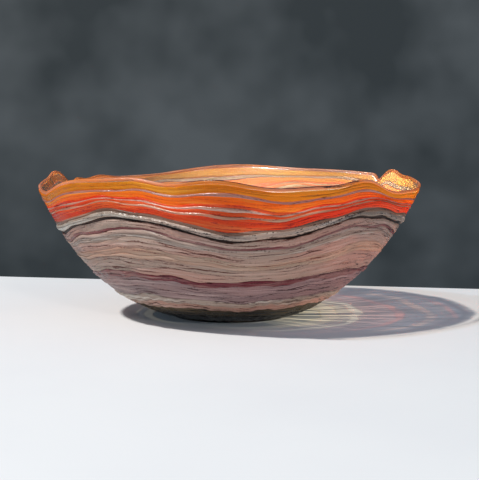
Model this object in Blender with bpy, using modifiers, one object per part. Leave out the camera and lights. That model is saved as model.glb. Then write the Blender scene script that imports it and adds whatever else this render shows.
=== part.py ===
"""Ruffled bowl of wound glass: a thin casing on a flat pad, with coloured trails laid round its outside.

Sizes are in metres and +Z is up. The origin is the centre of the pad's flat underside. The front of the bowl
faces -Y and its two pouring lobes point along X. Angles round the bowl are counted from the front, towards +X.
"""

import math

import bmesh
import bpy

# The bowl as it is turned, before the hot rim is ruffled
BOWL_HEIGHT = 0.1063  # mean height of the lip
LIP_RADIUS = 0.1380
FOOT_RADIUS = 0.0460
PAD_THICKNESS = 0.0035
FLOOR_THICKNESS = 0.0035
CASING_THICKNESS = 0.0022
SWELL_SHARE = 0.65  # share of the spread that is the round swell above the foot; the rest is straight flare
SWELL_FULLNESS = 3.0  # how soon the swell stands up
SWELL_START = 0.70  # how flat the swell leaves the foot: below 1 is flatter

# Clearances between pieces that touch
PIECE_GAP = 0.0003
TRAIL_GAP = 0.0004  # along the wall, before the ruffle squeezes the trails together

# The ruffle, as waves round the bowl: how many there are, how far they reach, and where one of them crests
LOBE_WAVES = (  # outwards, growing towards the lip
    (4, 0.0105, math.radians(8.0)),
    (2, 0.0030, math.radians(90.0)),
)
RIPPLE_WAVES = ((7, 0.0015, math.radians(-2.0)),)  # outwards, at the lip only
BODY_WAVES = (  # outwards, for the body between the foot and the lip
    (1, 0.0024, math.radians(-90.0)),
    (2, 0.0010, math.radians(0.0)),
)
BODY_START = 0.15  # share of the wall's height where the body's waves are nearly full
CORD_WAVES = (  # upwards, for the trails at the cord's level
    (1, 0.0035, math.radians(11.0)),
    (4, 0.0067, math.radians(-37.0)),
)
LIP_WAVES = (  # upwards, for the lip
    (1, 0.0033, math.radians(-10.0)),
    (2, 0.0041, math.radians(-11.0)),
    (3, 0.0010, math.radians(14.0)),
    (4, 0.0017, math.radians(-35.0)),
    (5, 0.0020, math.radians(-35.0)),
    (6, 0.0011, math.radians(1.0)),
    (7, 0.0012, math.radians(-2.0)),
    (8, 0.0009, math.radians(-1.0)),
)
CORD_LEVEL = 0.745  # share of the wall's height where the trails follow the cord's waves in full
SEGMENTS = 48
INNER_STEP = 3  # the casing's smooth inner face has a ring of points at every third trail

# Colour, roughness and metallic value of each glass
GLASSES = {
    "clear": ((0.80, 0.66, 0.58), 0.08, 0.0),
    "smoke": ((0.045, 0.042, 0.038), 0.15, 0.0),
    "olive": ((0.17, 0.13, 0.075), 0.18, 0.0),
    "taupe": ((0.30, 0.21, 0.18), 0.25, 0.0),
    "mauve": ((0.24, 0.16, 0.15), 0.22, 0.0),
    "cream": ((0.66, 0.52, 0.42), 0.20, 0.0),
    "tan": ((0.45, 0.30, 0.20), 0.22, 0.0),
    "grey": ((0.46, 0.36, 0.33), 0.28, 0.0),
    "brown": ((0.05, 0.025, 0.018), 0.20, 0.0),
    "burgundy": ((0.13, 0.022, 0.035), 0.15, 0.0),
    "red": ((0.62, 0.075, 0.025), 0.10, 0.0),
    "orange": ((0.72, 0.19, 0.02), 0.10, 0.0),
    "amber": ((0.66, 0.26, 0.025), 0.08, 0.0),
    "pink": ((0.55, 0.28, 0.25), 0.12, 0.0),
}

# Trails from the foot up: name, part of the wall's height that it covers beside the others, thickness, glass
TRAILS = (
    ("base_smoke_band", 6.0, 0.0018, "smoke"),
    ("base_olive_band", 6.4, 0.0018, "olive"),
    ("low_taupe_band", 4.8, 0.0019, "taupe"),
    ("cream_thread", 3.8, 0.0025, "cream"),
    ("low_mauve_band", 6.1, 0.0019, "mauve"),
    ("high_mauve_band", 7.0, 0.0020, "mauve"),
    ("burgundy_thread", 3.6, 0.0023, "burgundy"),
    ("low_body_band", 5.1, 0.0019, "taupe"),
    ("high_body_band", 5.3, 0.0020, "taupe"),
    ("tan_thread", 2.6, 0.0024, "tan"),
    ("tan_band", 3.1, 0.0020, "tan"),
    ("mottled_band", 5.9, 0.0020, "taupe"),
    ("grey_body_band", 2.7, 0.0019, "grey"),
    ("pale_ridge_thread", 2.4, 0.0026, "grey"),
    ("maroon_thread", 2.1, 0.0022, "burgundy"),
    ("wrinkled_band", 3.7, 0.0021, "taupe"),
    ("brown_thread", 2.4, 0.0015, "brown"),
    ("grey_cord", 3.5, 0.0032, "grey"),
    ("brown_grey_band", 2.1, 0.0019, "mauve"),
    ("red_band", 5.3, 0.0019, "red"),
    ("sand_thread", 1.8, 0.0024, "tan"),
    ("scarlet_thread", 1.3, 0.0018, "red"),
    ("ash_thread", 1.6, 0.0023, "grey"),
    ("crimson_thread", 1.2, 0.0018, "red"),
    ("orange_band", 4.0, 0.0018, "orange"),
    ("mauve_thread", 2.0, 0.0023, "mauve"),
    ("amber_band", 4.7, 0.0017, "amber"),
    ("lip_thread", 2.0, 0.0025, "pink"),
)
TRAIL_CROWN = 0.0005  # how far a trail's outer corners are rounded back from its edges
CROWN_LIMIT = 0.3  # most of a thin thread's width that either rounded corner takes

WALL_START = PAD_THICKNESS + PIECE_GAP
WALL_RISE = BOWL_HEIGHT - WALL_START
WALL_RADIUS = FOOT_RADIUS + PIECE_GAP
FLOOR_TOP = WALL_START + FLOOR_THICKNESS


def new_collection(name):
    """Collection under the scene for one group of objects."""
    collection = bpy.data.collections.new(name)
    bpy.context.scene.collection.children.link(collection)
    return collection


def glass_material(name, glass):
    """Principled material of one piece, in one of the bowl's glasses."""
    colour, roughness, metallic = GLASSES[glass]
    material = bpy.data.materials.new(f"{name}_glass")
    material.use_nodes = True
    shader = material.node_tree.nodes["Principled BSDF"]
    shader.inputs["Base Color"].default_value = (*colour, 1.0)
    shader.inputs["Roughness"].default_value = roughness
    shader.inputs["Metallic"].default_value = metallic
    shader.inputs["Transmission Weight"].default_value = 0.6
    material.diffuse_color = (*colour, 1.0)
    return material


def wall_radius(share):
    """Radius of the casing's outer face, a share of the way up the wall; the flare runs on past the lip."""
    swell = (1.0 - max(1.0 - share, 0.0) ** SWELL_FULLNESS) ** SWELL_START
    spread = SWELL_SHARE * swell + (1.0 - SWELL_SHARE) * share
    return WALL_RADIUS + (LIP_RADIUS - WALL_RADIUS) * spread


def wall_point(share):
    """Radius and height of the casing's outer face, a share of the way up from the foot to the lip."""
    return wall_radius(share), WALL_START + WALL_RISE * share


def offset_point(share, distance):
    """Point off the casing's outer face, square to it: outwards is positive."""
    step = 0.01
    low = wall_point(max(share - step, 0.0))
    high = wall_point(min(share + step, 1.0))
    run = high[0] - low[0]
    rise = high[1] - low[1]
    length = math.hypot(run, rise)
    radius, height = wall_point(share)
    return radius + distance * rise / length, height - distance * run / length


def smooth(value):
    """Ease from 0 to 1."""
    value = min(max(value, 0.0), 1.0)
    return value * value * (3.0 - 2.0 * value)


def waves(rows, angle):
    """Sum of the waves in a table, at an angle round the bowl."""
    return sum(size * math.cos(count * (angle - crest)) for count, size, crest in rows)


def ruffle(point):
    """Move a point of the turned bowl to its place in the ruffled one, by its angle and height alone."""
    angle = math.atan2(point.x, -point.y)
    share = min(max((point.z - WALL_START) / WALL_RISE, 0.0), 1.0)

    cord_lift = waves(CORD_WAVES, angle)
    if share < CORD_LEVEL:
        lift = cord_lift * smooth(share / CORD_LEVEL)
    else:
        above = smooth((share - CORD_LEVEL) / (1.0 - CORD_LEVEL))
        lift = cord_lift * (1.0 - above) + waves(LIP_WAVES, angle) * above

    # The glass slides up or down along the wall, then the wall itself leans out in its lobes
    lifted = share + lift / WALL_RISE
    reach = wall_radius(lifted) - wall_radius(share)
    reach += lifted**2 * waves(LOBE_WAVES, angle)
    reach += lifted**4 * waves(RIPPLE_WAVES, angle)
    reach += smooth(lifted / BODY_START) * (1.0 - smooth(lifted)) * waves(BODY_WAVES, angle)

    point.x += math.sin(angle) * reach
    point.y -= math.cos(angle) * reach
    point.z += lift


def turn(name, profile, closed, glass, collection):
    """Ruffled piece turned from a profile of (radius, height) points, which runs down its outer side."""
    outline = bpy.data.meshes.new(name)
    points = [(radius, 0.0, height) for radius, height in profile]
    edges = [(i, i + 1) for i in range(len(points) - 1)]
    if closed:
        edges.append((len(points) - 1, 0))
    outline.from_pydata(points, edges, [])
    piece = bpy.data.objects.new(name, outline)
    collection.objects.link(piece)

    screw = piece.modifiers.new("turn", "SCREW")
    screw.axis = "Z"
    screw.angle = math.tau
    screw.steps = SEGMENTS
    screw.render_steps = SEGMENTS
    screw.use_merge_vertices = True
    screw.merge_threshold = 0.00001

    turned = bpy.data.meshes.new_from_object(piece.evaluated_get(bpy.context.evaluated_depsgraph_get()))
    piece.modifiers.clear()
    piece.data = turned
    turned.name = name
    bpy.data.meshes.remove(outline)

    shape = bmesh.new()
    shape.from_mesh(turned)
    for vertex in shape.verts:
        ruffle(vertex.co)
    # Faces that look at each other across a gap are split along the same diagonal
    bmesh.ops.triangulate(shape, faces=shape.faces, quad_method="SHORT_EDGE")
    shape.to_mesh(turned)
    shape.free()
    turned.shade_smooth()
    turned.set_sharp_from_angle(angle=math.radians(40.0))
    turned.materials.append(glass_material(name, glass))
    return piece


def trail_levels():
    """Shares of the wall's height where one trail ends and the next begins, from the foot up."""
    total = sum(width for _, width, _, _ in TRAILS)
    levels = [0.0]
    for _, width, _, _ in TRAILS:
        levels.append(levels[-1] + width / total)
    levels[-1] = 1.0
    return levels


def make_pad(collection):
    """Flat pad under the casing's floor, which the bowl stands on."""
    corner = PAD_THICKNESS / 4.0
    profile = (
        (0.0, PAD_THICKNESS),
        (FOOT_RADIUS, PAD_THICKNESS),
        (FOOT_RADIUS, corner),
        (FOOT_RADIUS - corner, 0.0),
        (0.0, 0.0),
    )
    turn("foot_pad", profile, False, "smoke", collection)


def floor_edge():
    """Share of the wall's height where the casing's inner face rises off its flat floor."""
    share = 0.0
    while offset_point(share, -CASING_THICKNESS)[1] < FLOOR_TOP:
        share += 0.001
    return share


def make_casing(collection):
    """Blown liner with its floor: the one wall that every trail is laid on."""
    levels = trail_levels()
    edge = floor_edge()
    inner_levels = [edge]
    inner_levels += [level for level in levels[::-INNER_STEP][::-1] if level > edge + 0.02]
    profile = [(0.0, FLOOR_TOP)]
    profile += [offset_point(level, -CASING_THICKNESS) for level in inner_levels]
    profile += [wall_point(level) for level in reversed(levels)]
    profile.append((0.0, WALL_START))
    turn("inner_casing", profile, False, "clear", collection)


def make_trail(name, low, high, thickness, glass, collection):
    """One trail wound round the casing between two shares of the wall's height."""
    half_gap = TRAIL_GAP / 2.0 / WALL_RISE
    low += half_gap
    high -= half_gap
    crown = min(TRAIL_CROWN / WALL_RISE, CROWN_LIMIT * (high - low))
    outside = PIECE_GAP + thickness
    profile = (
        offset_point(low, PIECE_GAP),
        offset_point(high, PIECE_GAP),
        offset_point(high - crown, outside),
        offset_point(low + crown, outside),
    )
    turn(name, profile, True, glass, collection)


for old in list(bpy.data.objects):
    bpy.data.objects.remove(old, do_unlink=True)

bowl = new_collection("ruffled_glass_bowl")
make_pad(bowl)
make_casing(bowl)
edges_of_trails = trail_levels()
for number, (trail_name, _, trail_thickness, trail_glass) in enumerate(TRAILS):
    make_trail(
        trail_name,
        edges_of_trails[number],
        edges_of_trails[number + 1],
        trail_thickness,
        trail_glass,
        bowl,
    )
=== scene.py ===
"""Ruffled bowl of wound glass, finished: every trail is a drawn strand of coloured glass on its clear casing.

Sizes are in metres and +Z is up. The front of the bowl faces -Y. Angles round the bowl are counted from the
front, towards +X, and a share is how far a point lies up the wall, from 0 at the foot to 1 at the lip.
"""

import math

import bpy
import numpy as np
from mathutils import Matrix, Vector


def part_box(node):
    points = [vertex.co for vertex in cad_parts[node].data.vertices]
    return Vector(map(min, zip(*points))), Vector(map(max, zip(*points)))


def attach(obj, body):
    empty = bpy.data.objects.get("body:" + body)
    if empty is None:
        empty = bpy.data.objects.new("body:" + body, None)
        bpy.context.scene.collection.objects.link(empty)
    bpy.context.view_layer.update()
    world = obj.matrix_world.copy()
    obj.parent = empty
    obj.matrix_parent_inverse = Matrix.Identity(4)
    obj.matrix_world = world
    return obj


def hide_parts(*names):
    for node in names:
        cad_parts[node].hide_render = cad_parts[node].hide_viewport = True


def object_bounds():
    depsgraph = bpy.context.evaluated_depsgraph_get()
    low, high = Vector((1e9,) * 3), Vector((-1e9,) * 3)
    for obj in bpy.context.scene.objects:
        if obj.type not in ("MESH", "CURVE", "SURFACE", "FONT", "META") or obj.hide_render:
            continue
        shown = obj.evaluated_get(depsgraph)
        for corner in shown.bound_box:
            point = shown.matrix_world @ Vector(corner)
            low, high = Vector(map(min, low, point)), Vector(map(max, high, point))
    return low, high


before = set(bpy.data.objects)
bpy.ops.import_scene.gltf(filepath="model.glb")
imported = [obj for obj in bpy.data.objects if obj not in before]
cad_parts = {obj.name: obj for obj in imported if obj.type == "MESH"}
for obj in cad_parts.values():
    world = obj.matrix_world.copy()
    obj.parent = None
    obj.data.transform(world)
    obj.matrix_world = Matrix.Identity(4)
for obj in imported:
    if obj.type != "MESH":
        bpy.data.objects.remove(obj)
cad_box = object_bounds()


# ---------------------------------------------------------------------------------------------------------
# Table, backdrop, lamps and camera
# The bowl stands near the back edge of a pale painted table, in front of a sheet of dark mottled paper. One
# small lamp high on the left makes the shadow and the sparkle; a pale room and a front lamp fill it in.
# ---------------------------------------------------------------------------------------------------------

# Where the patches start and where they are full, out of the noise's range of 0 to 1
PATCH_START = 0.35
PATCH_FULL = 0.65


def stage_paint(name, colour, darker, scale, roughness):
    """Matt paint with slow patches of a darker tone, scale of them to the metre."""
    paint = bpy.data.materials.new(name)
    paint.use_nodes = True
    tree = paint.node_tree
    shader = tree.nodes["Principled BSDF"]
    shader.inputs["Roughness"].default_value = roughness
    place = tree.nodes.new("ShaderNodeTexCoord")
    cloud = tree.nodes.new("ShaderNodeTexNoise")
    cloud.inputs["Scale"].default_value = scale
    cloud.inputs["Detail"].default_value = 3.0
    contrast = tree.nodes.new("ShaderNodeMapRange")
    contrast.inputs["From Min"].default_value = PATCH_START
    contrast.inputs["From Max"].default_value = PATCH_FULL
    shade = tree.nodes.new("ShaderNodeMix")
    shade.data_type = "RGBA"
    shade.inputs["A"].default_value = (*colour, 1.0)
    shade.inputs["B"].default_value = (*darker, 1.0)
    tree.links.new(place.outputs["Object"], cloud.inputs["Vector"])
    tree.links.new(cloud.outputs["Fac"], contrast.inputs["Value"])
    tree.links.new(contrast.outputs["Result"], shade.inputs["Factor"])
    tree.links.new(shade.outputs["Result"], shader.inputs["Base Color"])
    return paint


TABLE_WIDTH = 2.8
TABLE_FRONT = -1.2
TABLE_BACK = 0.176
TABLE_THICKNESS = 0.03
TABLE_TURN = math.radians(11.2)

bpy.ops.object.select_all(action="DESELECT")
bpy.ops.mesh.primitive_cube_add(
    size=1.0,
    location=(0.0, (TABLE_FRONT + TABLE_BACK) / 2.0, cad_box[0].z - TABLE_THICKNESS / 2.0),
    scale=(TABLE_WIDTH, TABLE_BACK - TABLE_FRONT, TABLE_THICKNESS),
)
table = bpy.context.object
table.name = "table_top"
bpy.ops.transform.rotate(value=TABLE_TURN, orient_axis="Z", center_override=(0.0, 0.0, 0.0))
bpy.ops.object.transform_apply(location=True, rotation=True, scale=True)
TABLE_WHITE = (0.78, 0.78, 0.785)
TABLE_SHADE = (0.76, 0.76, 0.77)
table.data.materials.append(stage_paint("table_paint", TABLE_WHITE, TABLE_SHADE, scale=6.0, roughness=0.7))

BACKDROP_SIZE = 6.0
BACKDROP_MIDDLE = (0.0, 1.9, 0.4)
PAPER_GREY = (0.108, 0.114, 0.114)
PAPER_DARK = (0.038, 0.044, 0.045)
bpy.ops.object.select_all(action="DESELECT")
bpy.ops.mesh.primitive_plane_add(size=BACKDROP_SIZE, location=BACKDROP_MIDDLE)
backdrop = bpy.context.object
backdrop.name = "backdrop_paper"
bpy.ops.transform.rotate(value=math.pi / 2.0, orient_axis="X", center_override=BACKDROP_MIDDLE)
bpy.ops.object.transform_apply(location=True, rotation=True, scale=True)
paper = stage_paint("backdrop_paint", PAPER_GREY, PAPER_DARK, scale=4.5, roughness=0.9)
backdrop.data.materials.append(paper)

ROOM_COLOUR = (0.42, 0.62, 0.84, 1.0)
ROOM_STRENGTH = 0.43
room = bpy.data.worlds.new("pale_room")
bpy.context.scene.world = room
room.use_nodes = True
room.node_tree.nodes["Background"].inputs["Color"].default_value = ROOM_COLOUR
room.node_tree.nodes["Background"].inputs["Strength"].default_value = ROOM_STRENGTH
bpy.context.scene.view_settings.view_transform = "Standard"


def lamp(name, place, aim, size, power, colour):
    """Square soft lamp of a size and a power in watts, turned to face a point."""
    light = bpy.data.lights.new(name, "AREA")
    light.size = size
    light.energy = power
    light.color = colour
    holder = bpy.data.objects.new(name, light)
    bpy.context.scene.collection.objects.link(holder)
    holder.location = place
    toward = np.subtract(aim, place)
    along = math.hypot(toward[0], toward[1])
    holder.rotation_euler = (math.atan2(along, -toward[2]), 0.0, math.atan2(-toward[0], toward[1]))


BOWL_MIDDLE = (0.0, 0.0, 0.05)
lamp("key_lamp", (-2.27, -0.95, 3.20), BOWL_MIDDLE, size=0.16, power=172.0, colour=(1.0, 0.965, 0.92))
lamp("front_lamp", (0.8, -2.6, 1.1), BOWL_MIDDLE, size=0.22, power=12.0, colour=(1.0, 0.97, 0.94))

CAMERA_BACK = 1.25
CAMERA_HEIGHT = 0.197
CAMERA_AIM = (0.0070, 0.0, 0.0582)
LENS_LENGTH = 120.9  # millimetres, as the sensor's width is
SENSOR_WIDTH = 36.0
lens = bpy.data.cameras.new("camera")
lens.lens = LENS_LENGTH
lens.sensor_width = SENSOR_WIDTH
camera = bpy.data.objects.new("camera", lens)
bpy.context.scene.collection.objects.link(camera)
camera.location = (0.0, -CAMERA_BACK, CAMERA_HEIGHT)
drop = CAMERA_HEIGHT - CAMERA_AIM[2]
aside = math.atan2(CAMERA_AIM[0], CAMERA_BACK)
camera.rotation_euler = (math.pi / 2.0 - math.atan2(drop, CAMERA_BACK), 0.0, -aside)
bpy.context.scene.camera = camera


# ---------------------------------------------------------------------------------------------------------
# The clear casing
# A bubble of clear glass, blown and opened into a plain round bowl, which everything else is wound on. Its
# rim is ruffled last, while hot, so every piece is shaped on the round wall and moved by the same ruffle.
# ---------------------------------------------------------------------------------------------------------

foot_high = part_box("foot_pad")[1]
FOOT_RADIUS = foot_high.x
GAP = 0.0003  # hair's breadth that keeps neighbouring faces from lying in one plane
WALL_START = foot_high.z + GAP
WALL_RADIUS = FOOT_RADIUS + GAP
BOWL_HEIGHT = 0.1063
WALL_RISE = BOWL_HEIGHT - WALL_START
LIP_RADIUS = 0.1380
CASING_THICKNESS = 0.0022
RIM_THINNING = 0.4  # share of that thickness which is gone at the rim
RIM_START = 0.93  # share of the height where the thinning begins
FLOOR_THICKNESS = 0.0035
FLOOR_TOP = WALL_START + FLOOR_THICKNESS
FLOOR_FLAT = 0.04  # radius of the floor's level middle
FLOOR_TURN = 0.051  # radius where it turns up into the wall
CORD_LEVEL = 0.745  # share of the height where the cord is wound on
BODY_START = 0.15  # share of the height where the body's waves are nearly full

# The turned wall is mostly a round swell, steeper towards the lip, and partly a straight flare
SWELL_PART = 0.65
SWELL_REACH = 3.0
SWELL_SHARPNESS = 0.70

# Waves of the ruffle: how many go round, how far they move the glass, and where one crests, in degrees
LOBE_WAVES = ((4, 0.0105, 8.0), (2, 0.0030, 90.0))
RIPPLE_WAVES = ((7, 0.0015, -2.0),)
BODY_WAVES = ((1, 0.0024, -90.0), (2, 0.0010, 0.0))
CORD_WAVES = ((1, 0.0035, 11.0), (4, 0.0067, -37.0))
LIP_WAVES = (
    (1, 0.0033, -10.0),
    (2, 0.0041, -11.0),
    (3, 0.0010, 14.0),
    (4, 0.0017, -35.0),
    (5, 0.0020, -35.0),
    (6, 0.0011, 1.0),
    (7, 0.0012, -2.0),
    (8, 0.0009, -1.0),
)
FRONT_RIPPLE = ((13, 0.0011, -4.5),)
# Short folds of the lip: angle and half width in degrees, and how far up they go
FOLDS = (
    (-103.5, 3.6, 0.0036),
    (-109.0, 2.4, -0.0075),
    (-116.0, 5.0, -0.0040),
    (-131.0, 7.0, -0.0012),
    (107.0, 5.0, 0.0012),
    (114.5, 3.5, 0.0045),
    (118.2, 1.6, -0.0060),
)


def smooth(value):
    """Ease from 0 to 1."""
    value = np.clip(value, 0.0, 1.0)
    return value * value * (3.0 - 2.0 * value)


def waves(rows, angle):
    """Sum of the waves in a table, at angles round the bowl."""
    return sum(size * np.cos(count * (angle - math.radians(crest))) for count, size, crest in rows)


def folds(angle):
    """Lift of the lip's short folds, and of the fine ripple that fades out round the sides."""
    in_front = smooth(2.0 * np.cos(angle) + 0.4)
    lift = in_front * waves(FRONT_RIPPLE, angle)
    for crest, width, size in FOLDS:
        lift = lift + size * np.exp(-(((np.degrees(angle) - crest) / width) ** 2))
    return lift


def wall_radius(share):
    """Radius of the casing's outer face as it is turned."""
    swell = (1.0 - np.clip(1.0 - share, 0.0, 1.0) ** SWELL_REACH) ** SWELL_SHARPNESS
    return WALL_RADIUS + (LIP_RADIUS - WALL_RADIUS) * (SWELL_PART * swell + (1.0 - SWELL_PART) * share)


SLOPE_STEP = 0.01  # share of the height over which the wall's slope is measured, each way


def off_the_wall(share, proud):
    """Radius and height of a point that stands proud of the casing's outer face, square to it."""
    low = np.maximum(share - SLOPE_STEP, 0.0)
    high = share + SLOPE_STEP
    run = wall_radius(high) - wall_radius(low)
    rise = WALL_RISE * (high - low)
    slant = np.hypot(run, rise)
    radius = wall_radius(share) + proud * rise / slant
    height = WALL_START + WALL_RISE * share - proud * run / slant
    return radius, height


def ruffled(angle, radius, height):
    """Points of the round bowl, moved to their places in the ruffled one."""
    share = np.clip((height - WALL_START) / WALL_RISE, 0.0, 1.0)
    above = smooth((share - CORD_LEVEL) / (1.0 - CORD_LEVEL))
    near_cord = np.where(share < CORD_LEVEL, smooth(share / CORD_LEVEL), 1.0 - above)
    lift = waves(CORD_WAVES, angle) * near_cord
    lift = lift + waves(LIP_WAVES, angle) * above + folds(angle) * above**2
    lifted = share + lift / WALL_RISE
    reach = wall_radius(lifted) - wall_radius(share)
    reach = reach + lifted**2 * waves(LOBE_WAVES, angle) + lifted**4 * waves(RIPPLE_WAVES, angle)
    reach = reach + smooth(lifted / BODY_START) * (1.0 - smooth(lifted)) * waves(BODY_WAVES, angle)
    radius = radius + reach
    return np.column_stack((np.sin(angle) * radius, -np.cos(angle) * radius, height + lift))


def sheet_of_glass(name, round_points, across_points):
    """Flat grid to be shaped, with each point's angle round the bowl and its place across, from -1 to 1."""
    bpy.ops.object.select_all(action="DESELECT")
    bpy.ops.mesh.primitive_grid_add(x_subdivisions=round_points, y_subdivisions=across_points, size=2.0)
    piece = bpy.context.object
    piece.name = name
    flat = np.empty(len(piece.data.vertices) * 3)
    piece.data.vertices.foreach_get("co", flat)
    flat = flat.reshape(-1, 3)
    return piece, math.pi * flat[:, 0], flat[:, 1]


MEETING = 0.000001  # points closer than this are joined


def close_up(piece, points, material, node):
    """Move the grid's points into place, join its meeting edges, and let it stand for its CAD node."""
    piece.data.vertices.foreach_set("co", points.ravel())
    bpy.ops.object.mode_set(mode="EDIT")
    bpy.ops.mesh.select_all(action="SELECT")
    bpy.ops.mesh.remove_doubles(threshold=MEETING)
    bpy.ops.mesh.normals_make_consistent(inside=False)
    bpy.ops.object.mode_set(mode="OBJECT")
    bpy.ops.object.shade_smooth()
    piece.data.materials.append(material)
    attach(piece, "root")
    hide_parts(node)


def turned_piece(name, profile, round_points, material, node):
    """Closed piece from a profile of radius and height that runs from the axis, out, round and back to it."""
    piece, angle, across = sheet_of_glass(name, round_points, len(profile) - 1)
    row = np.rint((across + 1.0) / 2.0 * (len(profile) - 1)).astype(int)
    radius, height = np.array(profile).T
    points = ruffled(angle, radius[row], height[row])
    points[radius[row] == 0.0, :2] = 0.0
    close_up(piece, points, material, node)


class Flow:
    """A shader socket that can be added, multiplied and mixed."""

    def __init__(self, tree, socket=None):
        self.tree = tree
        self.socket = socket

    def node(self, kind, settings=None, **inputs):
        """First output of a new node, whose settings are made before its inputs.

        An input goes by its name, or by i and its number where names repeat.
        """
        made = self.tree.nodes.new(kind)
        for name, value in (settings or {}).items():
            setattr(made, name, value)
        for name, value in inputs.items():
            key = int(name[1:]) if name[1:].isdigit() else name.replace("_", " ")
            if isinstance(value, Flow):
                self.tree.links.new(value.socket, made.inputs[key])
            else:
                made.inputs[key].default_value = value
        shown = [output for output in made.outputs if output.enabled]
        return Flow(self.tree, shown[0])

    def output(self, name):
        """Another output of the same node."""
        return Flow(self.tree, self.socket.node.outputs[name])

    def maths(self, operation, **values):
        """Result of a Math node on one or two values."""
        return self.node("ShaderNodeMath", {"operation": operation}, **values)

    def __add__(self, other):
        return self.maths("ADD", i0=self, i1=other)

    def __radd__(self, other):
        return self.maths("ADD", i0=other, i1=self)

    def __mul__(self, other):
        return self.maths("MULTIPLY", i0=self, i1=other)

    def __rmul__(self, other):
        return self.maths("MULTIPLY", i0=other, i1=self)

    def __sub__(self, other):
        return self.maths("SUBTRACT", i0=self, i1=other)

    def __rsub__(self, other):
        return self.maths("SUBTRACT", i0=other, i1=self)

    def __abs__(self):
        return self.maths("ABSOLUTE", i0=self)

    def between(self, low, high):
        """0 below low, 1 above high, eased between them."""
        ease = {"interpolation_type": "SMOOTHSTEP"}
        return self.node("ShaderNodeMapRange", ease, Value=self, From_Min=low, From_Max=high)

    def blend(self, first, second):
        """Colour that is first where this value is 0 and second where it is 1."""
        return self.node("ShaderNodeMix", {"data_type": "RGBA"}, i0=self, i6=first, i7=second)

    def noise(self, detail, x, y, z):
        """Noise at a place, about 0.5 on average."""
        place = self.node("ShaderNodeCombineXYZ", X=x, Y=y, Z=z)
        return self.node("ShaderNodeTexNoise", Vector=place, Scale=1.0, Detail=detail)

    def spokes(self, detail, count, rise):
        """Noise that runs up the wall in spokes: count per radian round the bowl, rise per metre up it."""
        place = self.node("ShaderNodeTexCoord").output("Object")
        apart = self.node("ShaderNodeSeparateXYZ", Vector=place)
        flat = self.node("ShaderNodeCombineXYZ", X=apart, Y=apart.output("Y"))
        way = self.node("ShaderNodeVectorMath", {"operation": "NORMALIZE"}, i0=flat)
        fan = self.node("ShaderNodeVectorMath", {"operation": "SCALE"}, i0=way, Scale=count)
        lift = self.node("ShaderNodeCombineXYZ", Z=apart.output("Z") * rise)
        spot = self.node("ShaderNodeVectorMath", {"operation": "ADD"}, i0=fan, i1=lift)
        return self.node("ShaderNodeTexNoise", Vector=spot, Scale=1.0, Detail=detail)


def tint(red, green, blue):
    """Opaque colour."""
    return (red, green, blue, 1.0)


def new_glass(name):
    """New empty material, and a flow to build it from."""
    glass = bpy.data.materials.new(name)
    glass.use_nodes = True
    glass.node_tree.nodes.clear()
    return glass, Flow(glass.node_tree)


def finish_glass(start, body, passed):
    """Lamp light goes straight through the glass, tinted, and everything else meets its body."""
    lit = start.node("ShaderNodeLightPath").output("Is Shadow Ray")
    whole = start.node("ShaderNodeMixShader", i0=lit, i1=body, i2=passed)
    out = start.tree.nodes.new("ShaderNodeOutputMaterial")
    start.tree.links.new(whole.socket, out.inputs["Surface"])


casing_glass, start = new_glass("casing_glass")
casing_ribs = start.spokes(2.0, 34.0, 30.0)
casing_bump = start.node("ShaderNodeBump", Height=casing_ribs, Strength=0.9, Distance=0.0007)
CASING_MILK = 0.03  # part of the casing that scatters light from behind
casing_body = start.node(
    "ShaderNodeBsdfPrincipled",
    Base_Color=tint(0.98, 0.96, 0.94),
    Roughness=0.12,
    IOR=1.45,
    Transmission_Weight=1.0,
    Coat_Weight=0.85,
    Coat_Roughness=0.34,
    Normal=casing_bump,
)
casing_bloom = start.node("ShaderNodeBsdfTranslucent", Color=tint(1.0, 0.93, 0.80), Normal=casing_bump)
casing_whole = start.node("ShaderNodeMixShader", i0=CASING_MILK, i1=casing_body, i2=casing_bloom)
casing_passed = start.node("ShaderNodeBsdfTransparent", Color=tint(0.97, 0.96, 0.95))
finish_glass(start, casing_whole, casing_passed)

casing_shares = np.linspace(0.0, 1.0, 41)
casing_thinned = RIM_THINNING * smooth((casing_shares - RIM_START) / (1.0 - RIM_START))
casing_depths = CASING_THICKNESS * (1.0 - casing_thinned)
inner_face = [off_the_wall(share, -depth) for share, depth in zip(casing_shares, casing_depths)]
inner_face = [point for point in inner_face if point[1] > FLOOR_TOP + 0.0004]
outer_face = [off_the_wall(share, 0.0) for share in casing_shares[::-1]]
casing_floor = [(0.0, FLOOR_TOP), (0.02, FLOOR_TOP), (FLOOR_FLAT, FLOOR_TOP)]
casing_floor.append((FLOOR_TURN, FLOOR_TOP + 0.0002))
casing_base = [(0.03, WALL_START), (0.0, WALL_START)]
casing_profile = casing_floor + inner_face + outer_face + casing_base
turned_piece("casing_wall", casing_profile, 384, casing_glass, "inner_casing")


# ---------------------------------------------------------------------------------------------------------
# The foot pad and the dark base
# The first gathers are near-black smoky glass, then olive. The pad is pressed flat on the marver, and two
# wide bands of the same dark glass climb the turn of the wall. Where they are thin, they pass gold light.
# ---------------------------------------------------------------------------------------------------------

# How close each pattern in the glass is, to the metre: round the bowl, and up the wall
STREAK_PITCH = (20.0, 680.0)
PATCH_PITCH = (12.0, 160.0)
VEIN_PITCH = (15.0, 430.0)
GRAIN_PITCH = (600.0, 1100.0)
# Fine ribs in the glass, and rays of thinner glass, that run up the wall: how many to the radian round the
# bowl, and how much they change to the metre up it
RIB_PITCH = (170.0, 160.0)
WIDE_RAYS = (26.0, 40.0)
FINE_RAYS = (90.0, 20.0)
# The gather leaned, so the wall is thin on one side: which side, and where the thin part starts and is full
THIN_SIDE = (0.92, 0.38)
THIN_START = (-0.01, 0.04)
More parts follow.
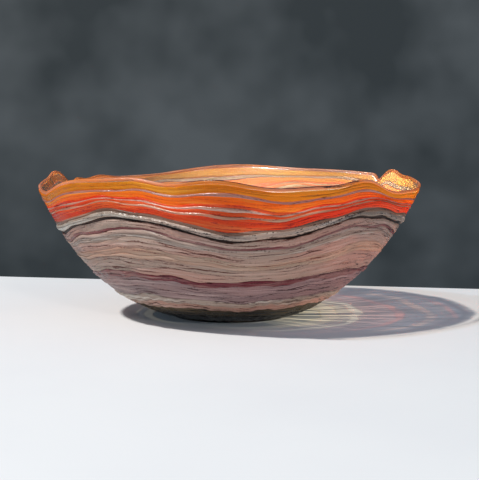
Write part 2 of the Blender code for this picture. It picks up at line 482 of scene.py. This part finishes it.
# Light that the wall passes: most of it in the crown, and gold where the wall is thin near the foot
CROWN_LIGHT = tint(0.985, 0.97, 0.95)
CROWN_START = (0.0762, 0.0775)
GOLD_LIGHT = tint(0.98, 0.93, 0.78)
GOLD_END = (0.014, 0.024)
# Painted light: the backs of the trails, seen through the casing from inside, are lightened a little towards
# yellow-green
INSIDE_PAINTED_LIGHT = tint(0.78, 0.92, 0.30)
INSIDE_PAINTED_LIGHT_SHARE = 0.20


def wound_glass(name, deep, body, other, pale, milk, bright, dim, roughness, grain, gloss=0.2):
    """Streaky glass of a trail, under the name of its slot in the record.

    deep is the tone of its dark streaks and also painted shade in its grooves, seams and wrinkles. body
    and other are the two tones that it drifts between, and pale its streaks. milk is how much of it
    scatters light from behind. bright and dim are the lamp light that it passes where it is thin and where
    it is thick. grain is how deep its fine wrinkles are, and gloss how strongly it shines.
    """
    glass, start = new_glass(name)
    apart = start.node("ShaderNodeSeparateXYZ", Vector=start.node("ShaderNodeTexCoord").output("Object"))
    x = apart
    y = apart.output("Y")
    z = apart.output("Z")
    level = start.node("ShaderNodeAttribute", {"attribute_name": "level"}).output("Fac")
    groove_shade_and_stain = start.node("ShaderNodeAttribute", {"attribute_name": "groove_shade_and_stain"}).output("Fac")
    tone = start.node("ShaderNodeAttribute", {"attribute_name": "tone"}).output("Fac")

    streaks = start.noise(4.0, x * STREAK_PITCH[0], y * STREAK_PITCH[0], level * STREAK_PITCH[1])
    patches = start.noise(2.0, x * PATCH_PITCH[0], y * PATCH_PITCH[0], level * PATCH_PITCH[1])
    grains = start.noise(3.0, x * GRAIN_PITCH[0], y * GRAIN_PITCH[0], z * GRAIN_PITCH[1])

    colour = (patches * 0.8 + tone * 0.6).between(0.45, 0.95).blend(body, other)
    colour = (streaks * 0.8 + patches * 0.3).between(0.52, 0.80).blend(colour, pale)
    vein_noise = start.noise(2.0, x * VEIN_PITCH[0], y * VEIN_PITCH[0], level * VEIN_PITCH[1])
    off_vein = abs(vein_noise * 2.0 - 1.0).between(0.0, 0.10)
    ribs = start.spokes(2.0, *RIB_PITCH)
    specks = grains * 0.35 + ribs * 0.2
    # Painted shade: the groove mask darkens the colour towards deep in grooves, seams and wrinkle hollows, on
    # top of the glass's own dark streaks and grains
    streak_and_groove_shade = (1.0 - streaks) * 0.7 + specks + groove_shade_and_stain * 0.65 - off_vein * 0.34
    dark = streak_and_groove_shade.between(0.48, 0.80)
    colour = dark.blend(colour, deep)
    hidden = start.node("ShaderNodeAttribute", {"attribute_name": "hidden"}).output("Fac")
    # Painted light: the hidden backs are lightened towards a pale yellow-green, for the lit inside of the
    # bowl
    colour = (hidden * INSIDE_PAINTED_LIGHT_SHARE).blend(colour, INSIDE_PAINTED_LIGHT)

    height = grains * 0.5 + streaks * 0.8 + ribs * 0.8
    bump = start.node("ShaderNodeBump", Height=height, Strength=0.9, Distance=grain)
    solid = start.node(
        "ShaderNodeBsdfPrincipled",
        Base_Color=colour,
        Roughness=roughness + 0.18 * grains,
        Normal=bump,
        IOR=1.5,
        Specular_IOR_Level=gloss,
    )
    glow = start.node("ShaderNodeBsdfTranslucent", Color=body, Normal=bump)
    whole = start.node("ShaderNodeMixShader", i0=(1.0 - dark) * milk, i1=solid, i2=glow)

    # Lamp light: dim through thick glass, bright through the rays on the thin side
    thin = start.node("ShaderNodeBsdfTransparent", Color=bright)
    thick = start.node("ShaderNodeBsdfTransparent", Color=dim)
    clear = start.node("ShaderNodeBsdfTransparent", Color=CROWN_LIGHT)
    leaning = (x * THIN_SIDE[0] + y * THIN_SIDE[1]).between(*THIN_START)
    gold = start.node("ShaderNodeBsdfTransparent", Color=GOLD_LIGHT)
    wide_rays = start.spokes(3.0, *WIDE_RAYS)
    fine_rays = start.spokes(1.0, *FINE_RAYS)
    rays = (wide_rays * 0.6 + fine_rays * 0.4).between(0.46, 0.55) * leaning
    near_foot = (1.0 - level.between(*GOLD_END)) * rays
    crown = level.between(*CROWN_START)
    passed = start.node("ShaderNodeMixShader", i0=rays, i1=thick, i2=thin)
    passed = start.node("ShaderNodeMixShader", i0=near_foot, i1=passed, i2=gold)
    passed = start.node("ShaderNodeMixShader", i0=crown, i1=passed, i2=clear)
    finish_glass(start, whole, passed)
    return glass


def sway(angle, seed, counts, size):
    """Irregular wave of about a size, made up of waves that go whole counts of times round the bowl."""
    dice = np.random.default_rng(seed)
    total = np.zeros_like(angle)
    for count in counts:
        total += dice.normal() * np.cos(count * angle + dice.uniform(0.0, math.tau))
    return size * total / math.sqrt(len(counts))


CRINKLES = 14
CRINKLE_LEAN = 120.0


def crinkle(angle, level, seed, size):
    """Small wrinkles drawn out along a trail, each with its own lean."""
    dice = np.random.default_rng(seed)
    total = np.zeros_like(angle)
    for _ in range(CRINKLES):
        count = dice.integers(30, 260)
        lean = dice.normal() * CRINKLE_LEAN
        total += np.cos(count * angle + lean * level + dice.uniform(0.0, math.tau))
    return size * total / math.sqrt(CRINKLES)


class Edge:
    """Line where one trail ends and the next begins.

    It has a number, counted from the foot, a level, which is a share of the height, and a wander in
    millimetres.
    """

    def __init__(self, number, level, wander):
        self.number = number
        self.level = level
        self.wander = wander

    def share(self, angle):
        """Share of the wall's height where the line runs, wandering as the hand did."""
        # Neighbouring lines share three waves, each a little further round, and every line has one of its own
        drift = 0.0009 * np.cos(5.0 * angle + 14.0 * self.level)
        drift = drift + 0.0006 * np.cos(11.0 * angle - 21.0 * self.level)
        shiver = np.cos(17.0 * angle + 9.0 * self.level)
        drift = drift + 0.0008 * shiver * np.cos(3.0 * angle - 5.0 * self.level)
        drift = drift + sway(angle, 40 + self.number, range(2, 24, 3), self.wander * 0.001)
        # Towards the foot and the lip the lines run level
        calm = min(1.0, 6.0 * self.level, 9.0 * (1.0 - self.level))
        return self.level + calm * drift / WALL_RISE


ALL_WIDTHS = 102.5  # of the trails laid below, and 2.0 for the lip
FACE_PART = 0.75  # part of a strand's sheet that makes its outer face; the rest is its flat back
THREAD_CROWN = 2.2  # a thread's face is nearly round
BAND_CROWN = 4.5  # and a band's is nearly flat, with rounded edges
THREAD_POINTS = (1152, 16)  # points round the bowl and across the sheet
BAND_POINTS = 768
BAND_ROWS = 12  # points across a band, and as many as PASS_ROWS more for each pass
PASS_ROWS = 9
GROOVE_DEPTH = 0.0005
GROOVE_WIDTH = 0.25  # as a part of one pass
WRINKLE_SHADE = 0.00040  # a wrinkle this deep would be as dark as a groove


def wind_trail(below, node, glass, width, thickness, passes, wander, spread=0.00025, wrinkle=0.00009):
    """Lay one trail on the line below it and return the line above it.

    Its width is its part of the wall's height, out of ALL_WIDTHS. A wide trail is several passes of the same
    glass, with a groove between each two, and a single pass is a round thread. Its edges spread a little over
    its neighbours, or stay clear of them where spread is below 0.
    """
    number = below.number + 1
    above = Edge(number, min(below.level + width / ALL_WIDTHS, 1.0), wander)
    thread = passes == 1
    round_points = THREAD_POINTS[0] if thread else BAND_POINTS
    across_points = THREAD_POINTS[1] if thread else BAND_ROWS + PASS_ROWS * passes
    piece, angle, turn = sheet_of_glass(node + "_strand", round_points, across_points)

    # The sheet is rolled up into a strand, with a domed face outwards and a flat back on the casing
    face = np.abs(turn) <= FACE_PART
    back_side = np.sign(turn) * (1.0 - np.abs(turn)) / (1.0 - FACE_PART)
    side = np.where(face, turn / FACE_PART, back_side)
    crown = THREAD_CROWN if thread else BAND_CROWN
    dome = np.where(face, np.maximum(1.0 - np.abs(side) ** crown, 0.0) ** (1.0 / crown), 0.0)
    low = below.share(angle) - spread / WALL_RISE
    high = above.share(angle) + spread / WALL_RISE
    level = (low + high) / 2.0 + side * (high - low) / 2.0

    # The grooves between its passes come and go, and so do its swellings and wrinkles
    groove_shade_and_stain = np.zeros_like(angle)
    for cut in range(1, passes):
        line = -1.0 + 2.0 * cut / passes + sway(angle, 7 * number + cut, range(2, 24, 3), 0.30 / passes)
        depth = np.clip(0.45 + sway(angle, 90 * number + cut, range(2, 16, 2), 0.45), 0.0, 1.0)
        notch = depth * np.exp(-(((side - line) * passes / GROOVE_WIDTH) ** 2))
        groove_shade_and_stain = np.maximum(groove_shade_and_stain, np.where(face, notch, 0.0))
    swell = 1.0 + sway(angle, 300 + number, range(5, 60, 6), 0.11)
    wrinkles = crinkle(angle, level * 1000.0 * WALL_RISE, 500 + number, wrinkle)
    proud = (thickness * swell + wrinkles - GROOVE_DEPTH * groove_shade_and_stain) * dome
    # Painted shade: the mask also darkens each face towards its edges, where it meets its neighbours, and in
    # the hollows of its wrinkles
    groove_shade_and_stain = np.maximum(groove_shade_and_stain, np.where(face, 0.7 * np.abs(side) ** 10, 0.0))
    groove_shade_and_stain = np.maximum(groove_shade_and_stain, np.where(face, np.clip(-wrinkles / WRINKLE_SHADE, 0.0, 0.6), 0.0))
    tone = 0.5 + sway(angle, 700 + number, range(1, 9), 0.35)

    hidden = np.where(face, 0.0, 1.0)
    marks = {"level": level * WALL_RISE, "groove_shade_and_stain": groove_shade_and_stain, "tone": tone, "hidden": hidden}
    for name, values in marks.items():
        layer = piece.data.attributes.new(name, "FLOAT", "POINT")
        layer.data.foreach_set("value", values)
    radius, height = off_the_wall(level, GAP + proud)
    close_up(piece, ruffled(angle, radius, height), glass, node)
    return above


smoke_glass = wound_glass(
    "smoke_glass",
    deep=tint(0.003, 0.003, 0.003),
    body=tint(0.009, 0.008, 0.008),
    other=tint(0.018, 0.015, 0.011),
    pale=tint(0.10, 0.075, 0.05),
    milk=0.10,
    bright=GOLD_LIGHT,
    dim=tint(0.16, 0.18, 0.20),
    roughness=0.10,
    grain=0.0003,
)
olive_glass = wound_glass(
    "olive_glass",
    deep=tint(0.008, 0.006, 0.005),
    body=tint(0.054, 0.04, 0.026),
    other=tint(0.12, 0.086, 0.046),
    pale=tint(0.288, 0.204, 0.132),
    milk=0.20,
    bright=tint(0.99, 0.95, 0.80),
    dim=tint(0.34, 0.34, 0.32),
    roughness=0.12,
    grain=0.0003,
)

PAD_EDGE = 0.0004  # chamfer of its upper edge
PAD_CORNER = 0.0012  # rounding of its lower edge
PAD_MIDDLE = 0.03
pad_profile = [
    (0.0, foot_high.z),
    (PAD_MIDDLE, foot_high.z),
    (FOOT_RADIUS - PAD_EDGE, foot_high.z),
    (FOOT_RADIUS, foot_high.z - PAD_EDGE),
    (FOOT_RADIUS, PAD_CORNER),
    (FOOT_RADIUS - 0.3 * PAD_CORNER, 0.3 * PAD_CORNER),
    (FOOT_RADIUS - PAD_CORNER, 0.0),
    (PAD_MIDDLE, 0.0),
    (0.0, 0.0),
]
turned_piece("foot_pad_disc", pad_profile, 192, smoke_glass, "foot_pad")

edge = Edge(0, 0.0, 0.0)
edge = wind_trail(edge, "base_smoke_band", smoke_glass, 6.0, 0.0018, passes=3, wander=0.4)
edge = wind_trail(edge, "base_olive_band", olive_glass, 6.4, 0.0018, passes=3, wander=0.5)


# ---------------------------------------------------------------------------------------------------------
# The lower body
# Taupe and mauve glass in wide flat passes, with two accents: a thread of cream that catches the light just
# above the dark base, and one of burgundy, wine red where it is thick and nearly gone where it is thin.
# ---------------------------------------------------------------------------------------------------------

taupe_glass = wound_glass(
    "taupe_glass",
    deep=tint(0.1, 0.028, 0.02),
    body=tint(0.602, 0.343, 0.271),
    other=tint(0.481, 0.361, 0.289),
    pale=tint(0.794, 0.563, 0.474),
    milk=0.35,
    bright=tint(0.46, 0.47, 0.52),
    dim=tint(0.20, 0.22, 0.25),
    roughness=0.16,
    grain=0.0004,
)
cream_glass = wound_glass(
    "cream_glass",
    deep=tint(0.16, 0.1, 0.08),
    body=tint(0.552, 0.408, 0.336),
    other=tint(0.432, 0.348, 0.288),
    pale=tint(0.92, 0.84, 0.744),
    milk=0.35,
    bright=tint(0.99, 0.97, 0.90),
    dim=tint(0.45, 0.45, 0.42),
    roughness=0.16,
    grain=0.0003,
)
mauve_glass = wound_glass(
    "mauve_glass",
    deep=tint(0.06, 0.018, 0.02),
    body=tint(0.435, 0.268, 0.252),
    other=tint(0.32, 0.229, 0.229),
    pale=tint(0.728, 0.533, 0.494),
    milk=0.35,
    bright=tint(0.80, 0.64, 0.62),
    dim=tint(0.22, 0.23, 0.27),
    roughness=0.16,
    grain=0.0004,
)
burgundy_glass = wound_glass(
    "burgundy_glass",
    deep=tint(0.035, 0.005, 0.008),
    body=tint(0.34, 0.16, 0.145),
    other=tint(0.17, 0.017, 0.032),
    pale=tint(0.552, 0.336, 0.288),
    milk=0.30,
    bright=tint(0.84, 0.55, 0.50),
    dim=tint(0.40, 0.26, 0.28),
    roughness=0.14,
    grain=0.0003,
)

edge = wind_trail(edge, "low_taupe_band", taupe_glass, 4.8, 0.0019, passes=2, wander=0.4)
edge = wind_trail(edge, "cream_thread", cream_glass, 3.8, 0.0025, passes=2, wander=0.4)
edge = wind_trail(edge, "low_mauve_band", mauve_glass, 6.1, 0.0019, passes=3, wander=0.6)
edge = wind_trail(edge, "high_mauve_band", mauve_glass, 7.0, 0.0020, passes=3, wander=0.5)
edge = wind_trail(edge, "burgundy_thread", burgundy_glass, 3.6, 0.0023, passes=2, wander=0.5)


# ---------------------------------------------------------------------------------------------------------
# The body
# The widest zone, taupe from edge to edge and only slightly grooved. Thin tan, grey and maroon trails run
# through it like the grain of a stone, and the topmost band is wrinkled where it was laid on too cool.
# ---------------------------------------------------------------------------------------------------------

tan_glass = wound_glass(
    "tan_glass",
    deep=tint(0.15, 0.04, 0.024),
    body=tint(0.625, 0.375, 0.275),
    other=tint(0.525, 0.4, 0.3),
    pale=tint(0.8, 0.6, 0.475),
    milk=0.40,
    bright=tint(0.78, 0.66, 0.60),
    dim=tint(0.26, 0.25, 0.27),
    roughness=0.16,
    grain=0.0003,
)
grey_glass = wound_glass(
    "grey_glass",
    deep=tint(0.1, 0.04, 0.03),
    body=tint(0.625, 0.438, 0.362),
    other=tint(0.45, 0.325, 0.263),
    pale=tint(0.92, 0.825, 0.725),
    milk=0.35,
    bright=tint(0.56, 0.54, 0.54),
    dim=tint(0.22, 0.23, 0.26),
    roughness=0.14,
    grain=0.0005,
)

edge = wind_trail(edge, "low_body_band", taupe_glass, 5.1, 0.0019, passes=2, wander=0.8)
edge = wind_trail(edge, "high_body_band", taupe_glass, 5.3, 0.0020, passes=2, wander=0.4)
edge = wind_trail(edge, "tan_thread", tan_glass, 2.6, 0.0024, passes=1, wander=0.35)
edge = wind_trail(edge, "tan_band", tan_glass, 3.1, 0.0020, passes=2, wander=0.5)
edge = wind_trail(edge, "mottled_band", taupe_glass, 5.9, 0.0020, passes=2, wander=0.4)
edge = wind_trail(edge, "grey_body_band", grey_glass, 2.7, 0.0019, passes=2, wander=0.35)
edge = wind_trail(edge, "pale_ridge_thread", grey_glass, 2.4, 0.0026, passes=1, wander=0.3)
edge = wind_trail(edge, "maroon_thread", burgundy_glass, 2.1, 0.0022, passes=1, wander=0.3)
edge = wind_trail(
    edge, "wrinkled_band", taupe_glass, 3.7, 0.0023, passes=2, wander=0.25, spread=0.0007, wrinkle=0.00016
)


# ---------------------------------------------------------------------------------------------------------
# The cord
# One thick grey trail stands out all the way round and divides the body from the bright crown. The trail
# under it was laid thin, and its almost black glass is partly painted shade for the crevice under the cord.
# ---------------------------------------------------------------------------------------------------------

# Its near-black colour is partly painted shade: the crevice in the cord's own shade
brown_glass = wound_glass(
    "brown_glass",
    deep=tint(0.002, 0.001, 0.001),
    body=tint(0.006, 0.003, 0.003),
    other=tint(0.020, 0.008, 0.006),
    pale=tint(0.08, 0.045, 0.035),
    milk=0.10,
    bright=tint(0.30, 0.22, 0.20),
    dim=tint(0.20, 0.14, 0.12),
    roughness=0.35,
    grain=0.0003,
)
# The cord is the body's grey in a glossier mix, and the band above it a brown one of the mauve
cord_glass = wound_glass(
    "grey_glass",
    deep=tint(0.05, 0.03, 0.024),
    body=tint(0.483, 0.345, 0.276),
    other=tint(0.345, 0.265, 0.207),
    # Its near-white pale streaks are partly painted highlight on the cord
    pale=tint(0.92, 0.897, 0.805),
    milk=0.30,
    bright=tint(0.56, 0.54, 0.54),
    dim=tint(0.22, 0.23, 0.26),
    roughness=0.10,
    grain=0.0006,
    gloss=0.8,
)
umber_glass = wound_glass(
    "mauve_glass",
    deep=tint(0.05, 0.018, 0.012),
    body=tint(0.22, 0.12, 0.085),
    other=tint(0.16, 0.09, 0.06),
    pale=tint(0.50, 0.30, 0.22),
    milk=0.30,
    bright=tint(0.98, 0.94, 0.90),
    dim=tint(0.90, 0.84, 0.80),
    roughness=0.14,
    grain=0.0003,
)

edge = wind_trail(edge, "brown_thread", brown_glass, 2.4, 0.0009, passes=1, wander=0.5)
edge = wind_trail(
    edge, "grey_cord", cord_glass, 3.5, 0.0034, passes=1, wander=0.25, spread=0.0004, wrinkle=0.0002
)
edge = wind_trail(edge, "brown_grey_band", umber_glass, 2.1, 0.0021, passes=1, wander=0.3, spread=0.0005)


# ---------------------------------------------------------------------------------------------------------
# The bright crown
# Clear reds, oranges and ambers that glow when light comes through the wall, parted by milky tan, grey and
# mauve threads. The bright trails are low and glossy, and the threads between them stand proud.
# ---------------------------------------------------------------------------------------------------------

red_glass = wound_glass(
    "red_glass",
    deep=tint(0.34, 0.014, 0.008),
    body=tint(0.762, 0.056, 0.016),
    other=tint(0.806, 0.123, 0.025),
    pale=tint(0.92, 0.269, 0.078),
    milk=0.50,
    bright=tint(0.99, 0.92, 0.88),
    dim=tint(0.98, 0.88, 0.82),
    roughness=0.12,
    grain=0.0003,
)
orange_glass = wound_glass(
    "orange_glass",
    deep=tint(0.55, 0.06, 0.006),
    body=tint(0.88, 0.176, 0.013),
    other=tint(0.836, 0.297, 0.022),
    pale=tint(0.92, 0.506, 0.066),
    milk=0.50,
    bright=tint(0.99, 0.96, 0.90),
    dim=tint(0.98, 0.92, 0.84),
    roughness=0.12,
    grain=0.0003,
)
amber_glass = wound_glass(
    "amber_glass",
    deep=tint(0.44, 0.115, 0.005),
    body=tint(0.74, 0.215, 0.006),
    other=tint(0.72, 0.36, 0.020),
    pale=tint(0.86, 0.46, 0.06),
    milk=0.50,
    bright=tint(0.99, 0.97, 0.92),
    dim=tint(0.98, 0.94, 0.86),
    roughness=0.10,
    grain=0.0003,
)
# The crown's threads are warmer mixes of the body's mauve, grey and tan, laid thin enough to pass most light
THREAD_BRIGHT = tint(0.98, 0.96, 0.94)
THREAD_DIM = tint(0.95, 0.90, 0.88)
rose_glass = wound_glass(
    "mauve_glass",
    deep=tint(0.12, 0.02, 0.015),
    body=tint(0.462, 0.209, 0.171),
    other=tint(0.396, 0.165, 0.11),
    pale=tint(0.92, 0.682, 0.605),
    milk=0.35,
    bright=THREAD_BRIGHT,
    dim=THREAD_DIM,
    roughness=0.12,
    grain=0.0003,
    gloss=0.8,
)
ash_glass = wound_glass(
    "grey_glass",
    deep=tint(0.16, 0.035, 0.022),
    body=tint(0.483, 0.299, 0.218),
    other=tint(0.46, 0.207, 0.138),
    pale=tint(0.92, 0.713, 0.598),
    milk=0.35,
    bright=THREAD_BRIGHT,
    dim=THREAD_DIM,
    roughness=0.12,
    grain=0.0003,
    gloss=0.8,
)
sand_glass = wound_glass(
    "tan_glass",
    deep=tint(0.18, 0.035, 0.018),
    body=tint(0.529, 0.287, 0.172),
    other=tint(0.483, 0.196, 0.115),
    pale=tint(0.862, 0.598, 0.414),
    milk=0.40,
    bright=THREAD_BRIGHT,
    dim=THREAD_DIM,
    roughness=0.12,
    grain=0.0003,
    gloss=0.8,
)

edge = wind_trail(edge, "red_band", red_glass, 5.3, 0.0019, passes=3, wander=0.45, spread=0.0004)
edge = wind_trail(edge, "sand_thread", sand_glass, 1.8, 0.0024, passes=1, wander=0.35, spread=-0.0001)
edge = wind_trail(edge, "scarlet_thread", red_glass, 1.3, 0.0020, passes=1, wander=0.3, spread=0.0005)
edge = wind_trail(edge, "ash_thread", ash_glass, 1.6, 0.0023, passes=1, wander=0.3, spread=-0.0001)
edge = wind_trail(edge, "crimson_thread", red_glass, 1.2, 0.0020, passes=1, wander=0.4, spread=0.0004)
edge = wind_trail(edge, "orange_band", orange_glass, 4.0, 0.0018, passes=2, wander=0.6, spread=0.0003)
edge = wind_trail(edge, "mauve_thread", rose_glass, 2.0, 0.0023, passes=1, wander=0.5, spread=0.0)
edge = wind_trail(edge, "amber_band", amber_glass, 4.7, 0.0017, passes=2, wander=0.15)


# ---------------------------------------------------------------------------------------------------------
# The lip
# The last thread is run on over the casing's cut edge and fire-polished, so the rim is one round glossy bead.
# It is clear amber and pink glass, with a line of dark maroon drawn along the front.
# ---------------------------------------------------------------------------------------------------------

pink_glass = wound_glass(
    "pink_glass",
    deep=tint(0.05, 0.008, 0.008),
    body=tint(0.78, 0.27, 0.030),
    other=tint(0.74, 0.36, 0.22),
    # Its pale streaks are partly painted highlight along the rim
    pale=tint(0.92, 0.66, 0.50),
    milk=0.50,
    bright=tint(0.99, 0.96, 0.94),
    dim=tint(0.98, 0.94, 0.92),
    roughness=0.05,
    grain=0.0002,
    gloss=0.6,
)

LIP_BEAD = 0.0012  # radius of the bead
LIP_SINK = 0.0008  # how far its middle lies below the top of the wall
STAIN_MIDDLE = 12.0  # degrees round the bowl, where the maroon line is centred
STAIN_REACH = 32.0  # degrees over which it fades
STAIN_TURN = 0.42  # place of the line round the bead, in half turns from the outside, and its width
STAIN_WIDTH = 0.16
BEAD_POINTS = (1152, 20)
bead, angle, turn = sheet_of_glass("lip_bead", *BEAD_POINTS)
bead_swell = LIP_BEAD * (1.0 + sway(angle, 811, range(5, 70, 5), 0.06))
bead_level = 1.0 - LIP_SINK / WALL_RISE + bead_swell * np.sin(math.pi * turn) / WALL_RISE
bead_tone = 0.5 + sway(angle, 812, range(3, 12), 0.35)
from_stain = np.abs(np.degrees(angle) - STAIN_MIDDLE) / STAIN_REACH
stained = smooth(1.6 - from_stain + sway(angle, 813, range(3, 24), 0.25))
bead_stain = stained * np.exp(-(((turn - STAIN_TURN) / STAIN_WIDTH) ** 2))
for name, values in (("level", bead_level * WALL_RISE), ("groove_shade_and_stain", bead_stain), ("tone", bead_tone)):
    layer = bead.data.attributes.new(name, "FLOAT", "POINT")
    layer.data.foreach_set("value", values)
radius, height = off_the_wall(bead_level, bead_swell * np.cos(math.pi * turn))
close_up(bead, ruffled(angle, radius, height), pink_glass, "lip_thread")
